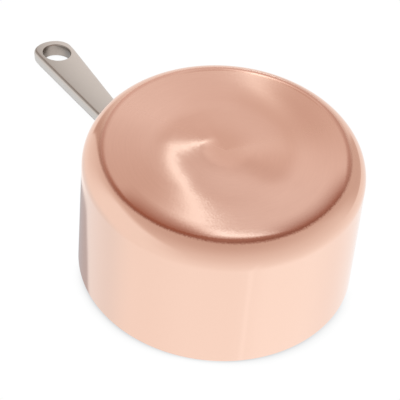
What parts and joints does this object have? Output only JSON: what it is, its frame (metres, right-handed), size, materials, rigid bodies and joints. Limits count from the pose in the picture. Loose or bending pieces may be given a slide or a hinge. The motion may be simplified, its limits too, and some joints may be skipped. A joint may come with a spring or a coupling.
{
  "type": "saucepan",
  "caption": "Copper saucepan with a straight wall, rounded base shoulder, thin stainless lining and a riveted cast handle with an oval hanging eye.",
  "frame": {"origin": "centre of the flat base's underside", "axes": "+Z along the pan's axis from the base to the open rim, +X along the handle"},
  "size_m": [0.3496, 0.16, 0.1453],
  "materials": {
    "polished_copper": "mirror polished wall, brushed base disc",
    "lining_steel": "fine circular brushing",
    "cast_steel": "satin, bead blasted casting",
    "rivet_steel": "satin"
  },
  "bodies": {
    "root": {"copper_shell": "polished_copper", "steel_lining": "lining_steel", "handle": "cast_steel", "rivet_upper_left": "rivet_steel", "rivet_upper_right": "rivet_steel", "rivet_lower": "rivet_steel"}
  },
  "joints": []
}
